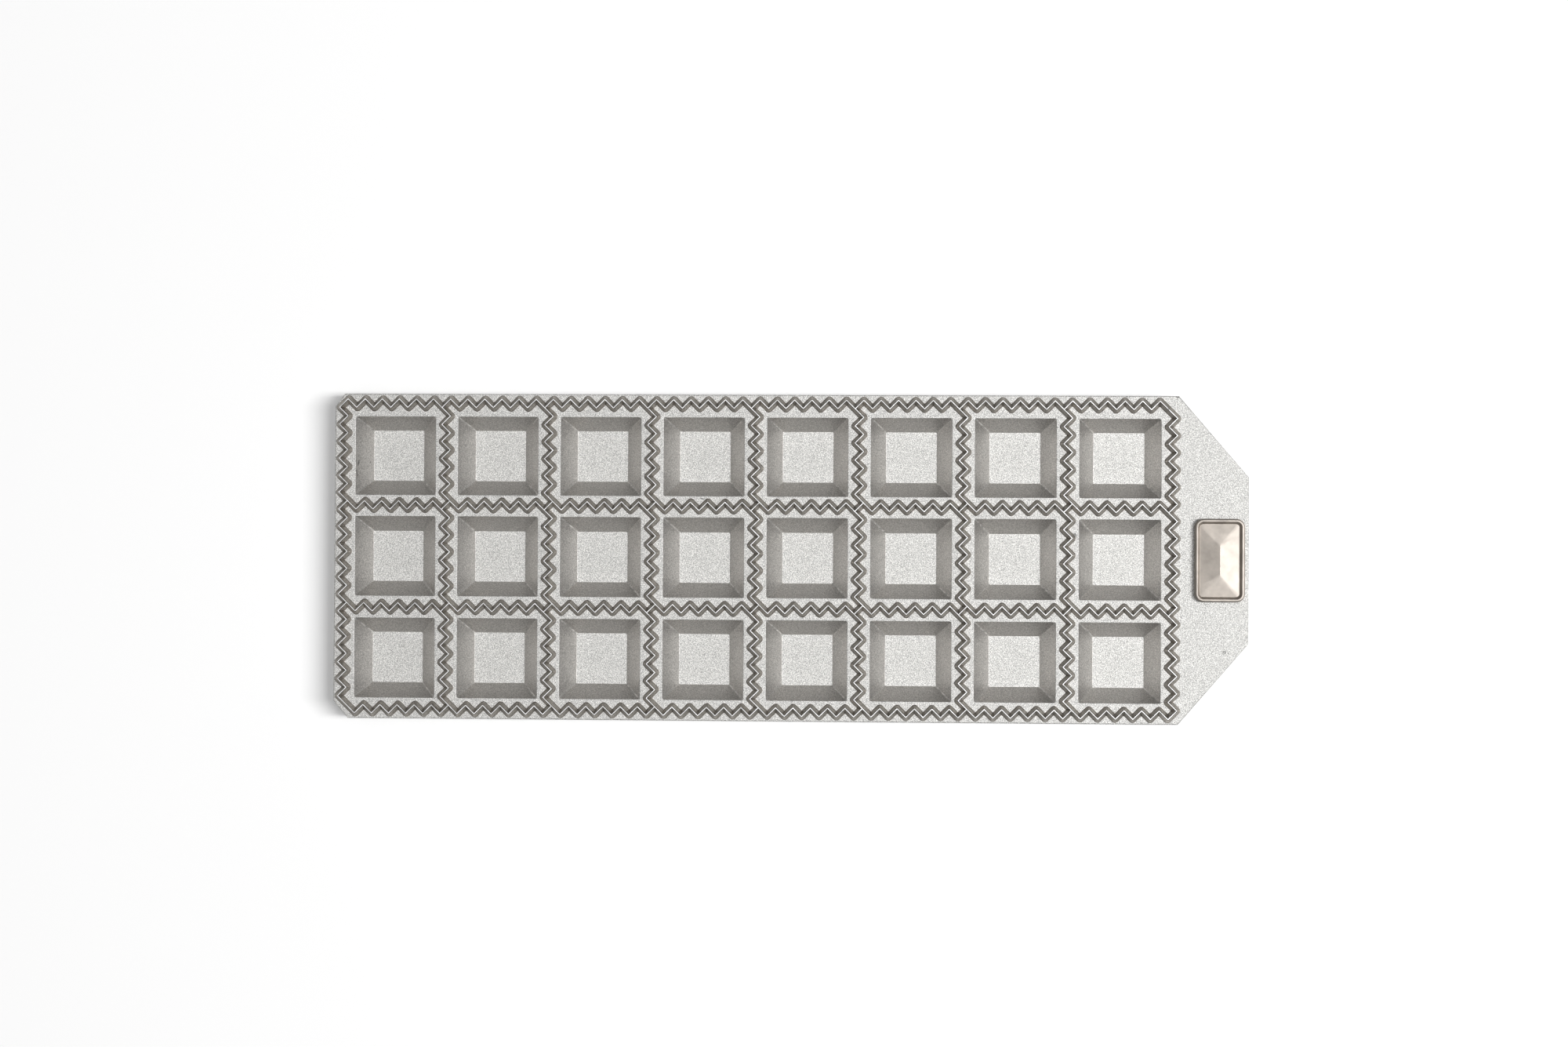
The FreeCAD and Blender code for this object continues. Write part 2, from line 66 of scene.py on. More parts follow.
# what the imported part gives: its pockets, its casting and its plate
POCKET_BOXES = np.array(
    [
        opening["box_m"]
        for opening in frame["record"]["physics"]["openings"]
        if opening["name"].startswith("pocket")
    ]
)
POCKET_CENTRES = POCKET_BOXES[:, :, :2].mean(axis=1)
CASTING_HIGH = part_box("mould_plate")[1]
PLATE_LOW, PLATE_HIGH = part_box("badge_plate")
FEET = sorted(name for name in frame["nodes"] if name.startswith("foot_"))
FOOT_LOW, FOOT_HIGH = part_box(FEET[0])


def spacing(places):
    """The step between neighbouring values, and how many different values there are."""
    values = np.unique(np.round(places, 6))
    return float((values[-1] - values[0]) / (len(values) - 1)), len(values)


PITCH_LENGTH, COLUMNS = spacing(POCKET_CENTRES[:, 0])
PITCH_WIDTH, ROWS = spacing(POCKET_CENTRES[:, 1])


def length(name, text, default):
    """A length in metres that a user can change."""
    return FloatProperty(name=name, description=text, default=default, unit="LENGTH", precision=5)


def colour(name, text, default):
    """A linear colour that a user can change."""
    return FloatVectorProperty(
        name=name, description=text, default=default, size=3, subtype="COLOR", min=0.0, max=1.0
    )


class TabletSizes(bpy.types.PropertyGroup):
    """The casting's sizes."""

    pitch_length: length("Pitch along", "Spacing of the cells along the tablet", PITCH_LENGTH)
    pitch_width: length("Pitch across", "Spacing of the cells across the tablet", PITCH_WIDTH)
    teeth: IntProperty(name="Teeth", description="Zigzags along the side of a cell", default=6, min=2)
    ridge_height: length("Ridge height", "Height of the cutting ridges above the top face", 0.0020)
    ridge_width: length("Ridge width", "Width of a ridge at its foot", 0.00245)
    crest_width: length("Crest width", "Width of a ridge at its crest", 0.00028)
    crest_ease: length("Crest easing", "Radius of the two edges of the crest", 0.00006)
    foot_ease: length("Foot easing", "Radius between a ridge and the top face", 0.00025)
    edge_foot: length("Edge foot", "From the middle of an outermost ridge to its outer foot", 0.001375)
    edge_foot_ease: length("Edge foot easing", "The same beside the tablet's narrow edge", 0.00004)
    # how much of a flank under the crest gets the painted shade
    shade_share: FloatProperty(
        name="Seam share",
        description="Share of a flank that is painted shade below the crest",
        default=0.16,
        min=0.01,
        max=0.99,
    )
    mouth_length: length("Mouth length", "Length of a pocket's mouth", 0.02865)
    mouth_width: length("Mouth width", "Width of a pocket's mouth", 0.02825)
    floor_length: length("Floor length", "Length of a pocket's floor", 0.01795)
    floor_width: length("Floor width", "Width of a pocket's floor", 0.01795)
    pocket_depth: length("Pocket depth", "Depth of a pocket below the top face", 0.0070)
    mouth_ease: length("Mouth easing", "Radius of the edge round a pocket's mouth", 0.0003)
    floor_ease: length("Floor easing", "Radius between a pocket's walls and floor", 0.00012)
    corner_ease: length("Corner easing", "Radius between two walls of a pocket", 0.0004)
    rear_shift: length("Rear shift", "How far the rear row's pockets stand from the rear", 0.00028)
    rear_land: length("Rear land", "How much narrower at their rear those pockets' mouths are", 0.00045)


class PlateSizes(bpy.types.PropertyGroup):
    """The sizes of the blank plate on the handle."""

    height: length("Height", "Height of the plate above the casting", 0.0026)
    corner: length("Corner", "Radius of the plate's corners", 0.0030)
    edge_ease: length("Edge easing", "Radius of the plate's upper edge", 0.0007)
    rim: length("Rim", "Width of the raised rim", 0.0011)
    recess: length("Recess", "Depth of the foot of the field below the rim", 0.0014)
    crown: length("Crown", "Rise of the field from its foot to its ridge", 0.0013)
    pin_spacing: length("Pin spacing", "Distance between the two pins", 0.0160)
    pin_diameter: length("Pin diameter", "Diameter of a pin", 0.0030)


class FootSizes(bpy.types.PropertyGroup):
    """The sizes of a rubber foot."""

    disc_height: length("Disc height", "Height of the foot below the rim", 0.0020)
    stem_diameter: length("Stem diameter", "Diameter of the stem in its boss", 0.0048)
    ease: length("Easing", "Radius of the edges", 0.0004)


class TabletFinish(bpy.types.PropertyGroup):
    """Colours and grain."""

    blasted: colour("Blasted metal", "Colour of the blasted faces", (0.66, 0.655, 0.64))
    wall: colour("Pocket walls", "Colour of the smooth walls of the pockets", (0.565, 0.55, 0.53))
    flank: colour("Ridge flanks", "Colour of the sides of the ridges", (0.45, 0.422, 0.387))
    # painted shade: a darker copy of the flank colour, for the outer flanks that face away from the key
    # lamp
    outer: colour("Outer flanks", "Colour of the sides of the ridges at the edges", (0.31, 0.29, 0.262))
    # painted shade: this darker colour goes in thin bands below each crest and in the foot of each ridge
    seam: colour("Ridge painted shade", "Colour of the dark lines along the ridges", (0.22, 0.204, 0.186))
    # painted highlight: the pockets' corners are lighter than their walls
    corner_highlight: colour("Pocket corners", "Colour of the corners of the pockets, a painted highlight", (0.67, 0.66, 0.64))
    # the crests are partly real wear and partly a painted highlight, nearly white so that they stay
    # bright under any lamp
    crest: colour("Ridge crests", "Colour of the polished crests", (0.93, 0.93, 0.92))
    chrome: colour("Chrome", "Colour of the plate", (0.46, 0.42, 0.38))
    rubber: colour("Rubber", "Colour of the feet", (0.03, 0.03, 0.03))
    paper: colour("Paper", "Colour of the floor", (0.95, 0.95, 0.95))
    grain: length("Grain", "Size of the grain of the blasted faces", 0.00026)


class StudioSettings(bpy.types.PropertyGroup):
    """Camera and lamps."""

    camera_place: FloatVectorProperty(
        name="Camera place",
        description="Where the camera stands",
        default=(0.04487, -0.00035, 0.97944),
        subtype="TRANSLATION",
    )
    camera_turn: FloatVectorProperty(
        name="Camera turn",
        description="How the camera is turned from looking straight down",
        default=(0.01324, 0.0479, 0.00578),
        subtype="EULER",
    )
    lens: FloatProperty(name="Lens", description="Focal length in millimetres", default=63.0, min=1.0)
    overhead_power: FloatProperty(
        name="Overhead", description="Power of the large overhead lamp", default=50.0, unit="POWER"
    )
    key_power: FloatProperty(
        name="Key", description="Power of the lamp beside the handle", default=120.0, unit="POWER"
    )
    room: FloatProperty(
        name="Room", description="Brightness of the room around", default=0.07, min=0.0, max=1.0
    )


def unit(vectors):
    """Vectors divided by their lengths."""
    return vectors / np.linalg.norm(vectors, axis=-1, keepdims=True)


def to_left(vectors):
    """Flat vectors turned a quarter to the left: (x, y) becomes (-y, x)."""
    return np.stack([-vectors[..., 1], vectors[..., 0]], axis=-1)


def turned(vectors, angle):
    """Flat vectors turned counterclockwise: vector * cos(angle) + its left * sin(angle)."""
    angle = np.asarray(angle)[..., None]
    return vectors * np.cos(angle) + to_left(vectors) * np.sin(angle)


def eased(points, radii, steps):
    """The inner corners of a line of straight runs, each made an arc of a radius.

    An arc starts radius * tan(turn / 2) before its corner, and its middle lies one radius beside the
    run. The result has only the points of the arcs.
    """
    arcs = []
    for last, here, ahead, radius in zip(points, points[1:], points[2:], radii):
        run_in = unit(np.subtract(here, last))
        run_out = unit(np.subtract(ahead, here))
        turn = math.atan2(run_in[0] * run_out[1] - run_in[1] * run_out[0], run_in @ run_out)
        beside = to_left(run_in) * math.copysign(radius, turn)
        middle = here - run_in * radius * math.tan(abs(turn) / 2) + beside
        arcs.append(middle + turned(-beside, np.linspace(0, turn, steps + 1)))
    return np.vstack(arcs)


def ring_corners(wide, high):
    """The corners of the zigzag round a block of cells, counterclockwise, in steps of half a tooth.

    Corner k of a grid line stands at k + 1/2 along it, and half a step to one side where k is even or
    to the other where it is odd. Where two grid lines meet, their zigzags share a corner, which counts
    once.
    """
    along = np.arange(wide)
    across = np.arange(high)
    side_along = 0.5 - along % 2
    side_across = 0.5 - across % 2
    corners = np.vstack(
        [
            np.column_stack([along + 0.5, side_along]),
            np.column_stack([wide + side_across, across + 0.5]),
            np.column_stack([along + 0.5, high + side_along])[::-1],
            np.column_stack([side_across, across + 0.5])[::-1],
        ]
    )
    return corners[np.any(corners != np.roll(corners, 1, axis=0), axis=1)]


STRAIGHT_ANGLE = 1e-9


def ring_stations(corners, steps):
    """Where a profile stands along a closed ring, and the way that it faces there, to the ring's left.

    A corner that turns left or is straight gives one mitred station, which faces
    (n1 + n2) / (1 + n1 . n2), where n1 and n2 are the left normals of its two runs. A corner that turns
    right gives an arc of them.
    """
    run_in = unit(corners - np.roll(corners, 1, axis=0))
    run_out = np.roll(run_in, -1, axis=0)
    across = (run_in * run_out).sum(axis=1)
    turn = np.arctan2(run_in[:, 0] * run_out[:, 1] - run_in[:, 1] * run_out[:, 0], across)
    mitre = (to_left(run_in) + to_left(run_out)) / (1 + across)[:, None]
    fans = turn < -STRAIGHT_ANGLE
    count = np.where(fans, steps + 1, 1)
    which = np.repeat(np.arange(len(corners)), count)
    order = np.arange(len(which)) - np.repeat(np.cumsum(count) - count, count)
    arc = turned(to_left(run_in)[which], turn[which] * order / steps)
    return corners[which], np.where(fans[which, None], arc, mitre[which])


def carried(stations, facing, profile):
    """A profile along a ring: point(s, p) = station(s) + facing(s) * distance(p), at level(p)."""
    flat = stations[:, None] + facing[:, None] * profile[None, :, :1]
    level = np.broadcast_to(profile[None, :, 1:], flat.shape[:2] + (1,))
    return np.concatenate([flat, level], axis=2)


def squared(share, facing, half, corner, level):
    """Rings of a rounded rectangle, one for each place p along a profile.

    point(s, p) = share(s) * (half(p) - corner(p)) + facing(s) * corner(p). The two columns of level are
    the heights of the sides that face along X and along Y, and a corner blends them by the squares of
    its facing.
    """
    corner = corner[None, :, None]
    flat = share[:, None] * (half[None] - corner) + facing[:, None] * corner
    height = ((facing**2)[:, None] * level[None]).sum(axis=2, keepdims=True)
    return np.concatenate([flat, height], axis=2)


def ring_faces(stations, columns):
    """Quads between neighbouring stations and columns of a closed ring.

    They are counterclockwise seen from the side that the ring's left normals and its tangent span.
    """
    here = np.arange(stations)[:, None] * columns + np.arange(columns - 1)[None]
    ahead = np.roll(here, -1, axis=0)
    return np.stack([here, ahead, ahead + 1, here + 1], axis=2).reshape(-1, 4)


class Shell:
    """Points, faces and the material of each face, gathered from several surfaces."""

    def __init__(self):
        self.points = []
        self.faces = []
        self.finishes = []
        self.count = 0

    def add(self, points, faces, finish):
        """Points with faces between them, of one finish or of one for each face."""
        points = points.reshape(-1, 3)
        self.points.append(points)
        self.faces += (faces + self.count).tolist()
        self.finishes.append(np.broadcast_to(finish, len(faces)))
        self.count += len(points)

    def add_rings(self, grid, bands):
        """A surface of stations and columns, with a finish for each band between two columns.

        The bands are one finish for all, the same for every station, or given for each of them.
        """
        stations, columns = grid.shape[:2]
        finishes = np.broadcast_to(bands, (stations, columns - 1))
        self.add(grid, ring_faces(stations, columns), finishes.ravel())

    def mesh(self, name):
        """All that was gathered, as one mesh."""
        mesh = bpy.data.meshes.new(name)
        mesh.from_pydata(np.vstack(self.points).tolist(), [], self.faces)
        mesh.polygons.foreach_set("material_index", np.concatenate(self.finishes).astype(np.int32))
        return mesh


MERGE_DISTANCE = 2e-6
SHARP_ANGLE = math.radians(30)
FACET_ANGLE = math.radians(9)


def finish_mesh(mesh, fill_finish=None, sharp_angle=SHARP_ANGLE):
    """Merge the seams, close the flat face between the open rings if asked, and mark the sharp edges."""
    shell = bmesh.new()
    shell.from_mesh(mesh)
    bmesh.ops.remove_doubles(shell, verts=shell.verts, dist=MERGE_DISTANCE)
    bmesh.ops.dissolve_degenerate(shell, dist=MERGE_DISTANCE / 10, edges=shell.edges)
    if fill_finish is not None:
        open_edges = [edge for edge in shell.edges if edge.is_boundary]
        filled = bmesh.ops.triangle_fill(shell, use_beauty=True, edges=open_edges, normal=(0, 0, 1))
        for item in filled["geom"]:
            if isinstance(item, bmesh.types.BMFace):
                item.material_index = fill_finish
                if item.normal.z < 0:
                    item.normal_flip()
    left_open = sum(not edge.is_manifold for edge in shell.edges)
    print(mesh.name, "faces", len(shell.faces), "edges that are open or shared by three", left_open)
    shell.to_mesh(mesh)
    shell.free()
    mesh.polygons.foreach_set("use_smooth", np.ones(len(mesh.polygons), bool))
    mesh.set_sharp_from_angle(angle=sharp_angle)
    mesh.update()


def show(mesh, materials, nodes):
    """The mesh as a piece of the part, which stands for its nodes."""
    piece = bpy.data.objects.new(mesh.name, mesh)
    bpy.context.scene.collection.objects.link(piece)
    for material in materials:
        mesh.materials.append(material)
    normals = piece.modifiers.new("Flat faces", "WEIGHTED_NORMAL")
    normals.keep_sharp = True
    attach(piece, "root")
    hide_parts(*nodes)


NOISE_TURN = (0.6, 0.5, 0.4)
NOISE_LOW = 0.32
NOISE_HIGH = 0.68
WHITE = (1.0, 1.0, 1.0, 1.0)


def new_material(name, base, metallic, roughness):
    """A material of one colour, with what is needed to add nodes to it."""
    material = bpy.data.materials.new(name)
    material.use_nodes = True
    nodes = material.node_tree.nodes
    shader = nodes["Principled BSDF"]
    shader.inputs["Base Color"].default_value = (*base, 1.0)
    shader.inputs["Metallic"].default_value = metallic
    shader.inputs["Roughness"].default_value = roughness
    return material, nodes, material.node_tree.links, shader


def add_noise(nodes, links, feature, detail, roughness=0.5):
    """Noise over the piece's own coordinates whose blobs have about a given size.

    The coordinates are turned, so that no flat face of the piece lies along a plane of the noise.
    """
    place = nodes.new("ShaderNodeTexCoord")
    turn = nodes.new("ShaderNodeMapping")
    turn.inputs["Rotation"].default_value = NOISE_TURN
    noise = nodes.new("ShaderNodeTexNoise")
    noise.inputs["Scale"].default_value = 1.0 / feature
    noise.inputs["Detail"].default_value = detail
    noise.inputs["Roughness"].default_value = roughness
    links.new(place.outputs["Object"], turn.inputs["Vector"])
    links.new(turn.outputs["Vector"], noise.inputs["Vector"])
    return noise.outputs["Fac"]


def add_ramp(nodes, links, value, dark, light, low=NOISE_LOW, high=NOISE_HIGH):
    """A colour between two, as a value goes from low to high."""
    ramp = nodes.new("ShaderNodeValToRGB")
    ramp.color_ramp.elements[0].position = low
    ramp.color_ramp.elements[0].color = (*dark, 1.0)
    ramp.color_ramp.elements[1].position = high
    ramp.color_ramp.elements[1].color = (*light, 1.0)
    links.new(value, ramp.inputs["Fac"])
    return ramp.outputs["Color"]


def add_bump(nodes, links, shader, value, strength, height):
    """Raise the shader's surface with a value."""
    bump = nodes.new("ShaderNodeBump")
    bump.inputs["Strength"].default_value = strength
    bump.inputs["Distance"].default_value = height
    links.new(value, bump.inputs["Height"])
    links.new(bump.outputs["Normal"], shader.inputs["Normal"])


def shaded(base, factor):
    """A colour times a factor, up to white."""
    return tuple(min(1.0, channel * factor) for channel in base)


# small marks: place along and across, half length, half width, turn in degrees, and tone
TOP_MARKS = [
    (0.13585, 0.05690, 0.00045, 0.00016, -60, 0.35),
    (0.13635, 0.05690, 0.00050, 0.00016, 45, 0.35),
    (0.10040, 0.00860, 0.00080, 0.00070, 0, 0.45),
    (0.13220, -0.05350, 0.00080, 0.00070, 20, 0.50),
    (0.13225, -0.05352, 0.00030, 0.00030, 0, 2.20),
    (0.15258, -0.03204, 0.00055, 0.00050, 0, 0.45),
    (0.15258, -0.03204, 0.00022, 0.00022, 0, 1.90),
    (0.15394, -0.03230, 0.00028, 0.00020, 0, 0.50),
    (0.14111, -0.05263, 0.00030, 0.00030, 0, 0.40),
    (0.12928, 0.04889, 0.00090, 0.00030, 0, 0.55),
    (-0.03049, 0.02071, 0.00110, 0.00018, -5, 0.50),
]
WALL_MARKS = [
    (-0.15271, 0.03296, 0.00110, 0.00020, 80, 0.45),
    (-0.15310, 0.02907, 0.00140, 0.00018, 100, 0.60),
    (-0.14939, 0.03334, 0.00030, 0.00030, 0, 0.60),
]
CREST_MARKS = [(0.13276, 0.05262, 0.00070, 0.00016, 60, 0.25)]
MARK_HEIGHT = 0.05
MARK_INSIDE = 1.3
MARK_OUTSIDE = 1.8


def add_marks(nodes, links, tint, noise, marks):
    """Darken or lighten a colour inside small ovals with ragged edges.

    An oval's own coordinates are 1 long on its edge, and the noise, about 0.5, shifts that edge in and
    out.
    """
    place = nodes.new("ShaderNodeTexCoord")
    for along, across, half_length, half_width, turn, tone in marks:
        oval = nodes.new("ShaderNodeMapping")
        oval.vector_type = "TEXTURE"
        oval.inputs["Location"].default_value = (along, across, 0.0)
        oval.inputs["Rotation"].default_value = (0.0, 0.0, math.radians(turn))
        oval.inputs["Scale"].default_value = (half_length, half_width, MARK_HEIGHT)
        far = nodes.new("ShaderNodeVectorMath")
        far.operation = "LENGTH"
        ragged = nodes.new("ShaderNodeMath")
        ragged.operation = "ADD"
        level = nodes.new("ShaderNodeMapRange")
        level.inputs["From Min"].default_value = MARK_INSIDE
        level.inputs["From Max"].default_value = MARK_OUTSIDE
        level.inputs["To Min"].default_value = tone
        level.inputs["To Max"].default_value = 1.0
        toned = nodes.new("ShaderNodeVectorMath")
        toned.operation = "SCALE"
        links.new(place.outputs["Object"], oval.inputs["Vector"])
        links.new(oval.outputs["Vector"], far.inputs[0])
        links.new(far.outputs["Value"], ragged.inputs[0])
        links.new(noise, ragged.inputs[1])
        links.new(ragged.outputs[0], level.inputs["Value"])
        links.new(tint, toned.inputs[0])
        links.new(level.outputs["Result"], toned.inputs["Scale"])
        tint = toned.outputs["Vector"]
    return tint


METAL_BUMP = 0.5
RUBBER_BUMP = 0.2
BLAST_RELIEF = 0.00005
WALL_RELIEF = 0.00004
FINE_RELIEF = 0.00002
RUBBER_RELIEF = 0.00003


def bare_metal(name, base, roughness, feature, detail, contrast, relief=FINE_RELIEF, marks=()):
    """Metal whose tone wanders about its base colour, and whose surface rises with the same noise."""
    material, nodes, links, shader = new_material(name, base, 1.0, roughness)
    noise = add_noise(nodes, links, feature, detail)
    tint = add_ramp(nodes, links, noise, shaded(base, 1 - contrast), shaded(base, 1 + contrast))
    tint = add_marks(nodes, links, tint, noise, marks)
    links.new(tint, shader.inputs["Base Color"])
    add_bump(nodes, links, shader, noise, METAL_BUMP, relief)
    return material


def casting_metals(finish):
    """The finishes of the casting, in the order of its material numbers."""
    grain = finish.grain
    return [
        bare_metal(
            "blasted_aluminium",
            finish.blasted,
            roughness=0.70,
            feature=grain,
            detail=1.0,
            contrast=0.44,
            relief=BLAST_RELIEF,
            marks=TOP_MARKS,
        ),
        bare_metal(
            "pocket_wall",
            finish.wall,
            roughness=0.50,
            feature=1.5 * grain,
            detail=2.0,
            contrast=0.30,
            relief=WALL_RELIEF,
            marks=WALL_MARKS,
        ),
        bare_metal(
            "ridge_flank", finish.flank, roughness=0.42, feature=2 * grain, detail=2.0, contrast=0.24
        ),
        # crest: real wear and a painted highlight
        bare_metal(
            "worn_crest_and_sheen",
            finish.crest,
            roughness=0.60,
            feature=0.0018,
            detail=3.0,
            contrast=0.30,
            marks=CREST_MARKS,
        ),
        # painted shade along the ridges, below the crests and in their feet
        bare_metal(
            "ridge_painted_shade", finish.seam, roughness=0.50, feature=0.0008, detail=3.0, contrast=0.30
        ),
        # painted highlight in the corners of the pockets
        bare_metal(
            "pocket_corner_highlight", finish.corner_highlight, roughness=0.45, feature=0.0012, detail=3.0, contrast=0.35
        ),
        # painted shade on the outer flanks
        bare_metal(
            "outer_flank_painted_shade", finish.outer, roughness=0.42, feature=2 * grain, detail=2.0, contrast=0.24
        ),
    ]


def chrome(finish):
    """Satin plating, a little blotchy."""
    return bare_metal(
        "satin_chrome",
        finish.chrome,
        roughness=0.56,
        feature=0.004,
        detail=3.0,
        contrast=0.12,
        relief=BLAST_RELIEF,
    )


def rubber(finish):
    """Matte moulded rubber with a faint grain."""
    material, nodes, links, shader = new_material("moulded_rubber", finish.rubber, 0.0, 0.75)
    grain = add_noise(nodes, links, feature=0.0004, detail=2.0)
    dark = shaded(finish.rubber, 0.8)
    light = shaded(finish.rubber, 1.4)
    tint = add_ramp(nodes, links, grain, dark, light, low=0.3, high=0.7)
    links.new(tint, shader.inputs["Base Color"])
    add_bump(nodes, links, shader, grain, RUBBER_BUMP, RUBBER_RELIEF)
    return material


BLASTED, WALL, FLANK, CREST_WEAR_AND_SHEEN, RIDGE_SHADE, CORNER_HIGHLIGHT, OUTER_SHADE = range(7)
ARC_STEPS = 3
FAN_STEPS = 4


def ridge_profile(size, half_foot, foot_ease):
    """Half the section of a ridge: flat crest, eased edge, straight flank, eased foot.

    Bands of painted shade run along it: one below the crest, and one in the eased foot where shade
    falls.
    """
    arcs = eased(
        [
            (0.0, size.ridge_height),
            (size.crest_width / 2, size.ridge_height),
            (half_foot, 0.0),
            (2 * half_foot, 0.0),
        ],
        [size.crest_ease, foot_ease],
        ARC_STEPS,
    )
    upper, lower = np.split(arcs, 2)
    # the band of painted shade below the crest ends here; a second band of it fills the eased foot
    seam = upper[-1] + (lower[0] - upper[-1]) * size.shade_share
    bands = [CREST_WEAR_AND_SHEEN] * (1 + ARC_STEPS) + [RIDGE_SHADE, FLANK] + [RIDGE_SHADE] * ARC_STEPS
    return np.vstack([[(0.0, size.ridge_height)], upper, seam, lower]), np.array(bands)


def pocket_rings(size, root, shift, land):
    """The pocket inside a ring of root points, as rounded rectangles from its mouth to its floor.

    Its mouth is narrower by the land, and every point moves to the front by
    shift + land / 2 * (1 + z / depth), so that the front wall leans as before.
    """
    halves = []
    levels = []
    for mouth, floor in (
        (size.mouth_length, size.floor_length),
        (size.mouth_width - land, size.floor_width),
    ):
        profile = eased(
            [
                (mouth, 0.0),
                (mouth / 2, 0.0),
                (floor / 2, -size.pocket_depth),
                (0.0, -size.pocket_depth),
            ],
            [size.mouth_ease, size.floor_ease],
            ARC_STEPS,
        )
        profile = np.vstack([profile, [(0.0, -size.pocket_depth)]])
        halves.append(profile[:, 0])
        levels.append(profile[:, 1])
    half = np.column_stack(halves)
    corner = np.minimum(size.corner_ease, half.min(axis=1))
    straight = half[0] - corner[0]
    core = np.clip(root, -straight, straight)
    rings = squared(core / straight, unit(root - core), half, corner, np.column_stack(levels))
    rings[..., 1] -= shift + land / 2 * (1 + rings[..., 2] / size.pocket_depth)
    land = [BLASTED] * (1 + ARC_STEPS)
    wall = [WALL] * (1 + ARC_STEPS)
    bands = np.tile(land + wall + [BLASTED], (len(root), 1))
    on_corner = np.all(np.abs(root) > straight, axis=1)
    on_corner &= np.roll(on_corner, -1)
    # painted highlight: where two walls meet, the corner gets a lighter colour
    bands[on_corner[:, None] & (bands == WALL)] = CORNER_HIGHLIGHT
    return rings, bands


def add_cells(shell, size, top):
    """Every cell: half of the ridges round it, the top face inside them, and its pocket.

    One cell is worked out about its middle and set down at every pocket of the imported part. The rear
    row has a cell of its own, whose pocket stands further from the rear.
    """
    steps = 2 * size.teeth
    pitch = np.array([size.pitch_length, size.pitch_width])
    corners = (ring_corners(steps, steps) / steps - 0.5) * pitch
    stations, facing = ring_stations(corners, FAN_STEPS)
    profile, ridge_bands = ridge_profile(size, size.ridge_width / 2, size.foot_ease)
    ridge = carried(stations, facing, profile)
    in_rear = POCKET_CENTRES[:, 1] > POCKET_CENTRES[:, 1].max() - pitch[1] / 2
    for centres, shift, land in (
        (POCKET_CENTRES[~in_rear], 0.0, 0.0),
        (POCKET_CENTRES[in_rear], size.rear_shift, size.rear_land),
    ):
        pocket, pocket_bands = pocket_rings(size, ridge[:, -1, :2], shift, land)
        cell = np.concatenate([ridge, pocket], axis=1)
        bands = np.hstack([np.tile(ridge_bands, (len(ridge), 1)), pocket_bands])
        for centre in centres:
            shell.add_rings(cell + (*centre, top), bands)


def add_outer_ridge(shell, size, top):
    """The outer half of the ridge round the whole grid. Its flanks get painted shade, a darker colour,
    except beside the handle, on the side that faces the key lamp.
    """
    steps = 2 * size.teeth
    pitch = np.array([size.pitch_length, size.pitch_width])
    start = POCKET_CENTRES.min(axis=0) - pitch / 2
    corners = ring_corners(COLUMNS * steps, ROWS * steps)[::-1] * pitch / steps + start
    stations, facing = ring_stations(corners, FAN_STEPS)
    profile, bands = ridge_profile(size, size.edge_foot, size.edge_foot_ease)
    bands = np.tile(bands, (len(stations), 1))
    beside_handle = stations[:, 0] > corners[:, 0].max() - pitch[0] / steps - MERGE_DISTANCE
    # painted shade: outer flanks that do not face the key lamp get the darker colour
    bands[(bands == FLANK) & ~beside_handle[:, None]] = OUTER_SHADE
    shell.add_rings(carried(stations, facing, profile) + (0, 0, top), bands)


FACING_UP = 0.1


def add_lower_casting(shell, size, top):
    """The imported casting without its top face, ridges and pockets: edge, skirt, rim and underside."""
    mesh = frame["nodes"]["mould_plate"].data
    mesh.calc_loop_triangles()
    points = np.empty(3 * len(mesh.vertices))
    mesh.vertices.foreach_get("co", points)
    points = points.reshape(-1, 3)
    faces = np.empty(3 * len(mesh.loop_triangles), np.int32)
    mesh.loop_triangles.foreach_get("vertices", faces)
    faces = faces.reshape(-1, 3)
    corners = points[faces]
    normals = np.cross(corners[:, 1] - corners[:, 0], corners[:, 2] - corners[:, 0])
    facing_up = normals[:, 2] > FACING_UP * np.linalg.norm(normals, axis=1)
    lowest = corners[..., 2].min(axis=1)
    on_top = lowest > top - MERGE_DISTANCE
    start = POCKET_CENTRES.min(axis=0)
    pitch = (size.pitch_length, size.pitch_width)
    count = (COLUMNS - 1, ROWS - 1)
    middle = corners.mean(axis=1)[:, :2]
    nearest = start + np.clip(np.round((middle - start) / pitch), 0, count) * pitch
    mouth = np.array([size.mouth_length, size.mouth_width]) / 2
    in_mouth = np.all(np.abs(middle - nearest) < mouth, axis=1)
    in_pocket = in_mouth & facing_up & (lowest > top - size.pocket_depth - MERGE_DISTANCE)
    kept = ~on_top & ~in_pocket
    shell.add(points, faces[kept], BLASTED)


def section_path(side_steps, corner_steps):
    """Stations round a rounded rectangle: their share of its half sizes, and the way that they face.

    One side and the corner after it are turned by 0, 90, 180 and 270 degrees.
    """
    side = np.linspace(-1, 1, side_steps + 1)
    angle = np.linspace(0, math.pi / 2, corner_steps + 1)[1:-1]
    share = np.vstack([np.column_stack([np.ones_like(side), side]), np.ones((len(angle), 2))])
    facing = turned(np.array([1.0, 0.0]), np.concatenate([np.zeros_like(side), angle]))
    turns = np.repeat(np.arange(4) * math.pi / 2, len(share))
    return turned(np.tile(share, (4, 1)), turns), turned(np.tile(facing, (4, 1)), turns)


def lathed(profile, count):
    """A profile of (radius, level) pairs turned about Z: point(a, p) = (r cos a, r sin a, z)."""
    angle = np.linspace(0, 2 * math.pi, count, endpoint=False)
    radius = profile[None, :, 0]
    x = np.cos(angle)[:, None] * radius
    y = np.sin(angle)[:, None] * radius
    return np.stack([x, y, np.broadcast_to(profile[None, :, 1], x.shape)], axis=2)


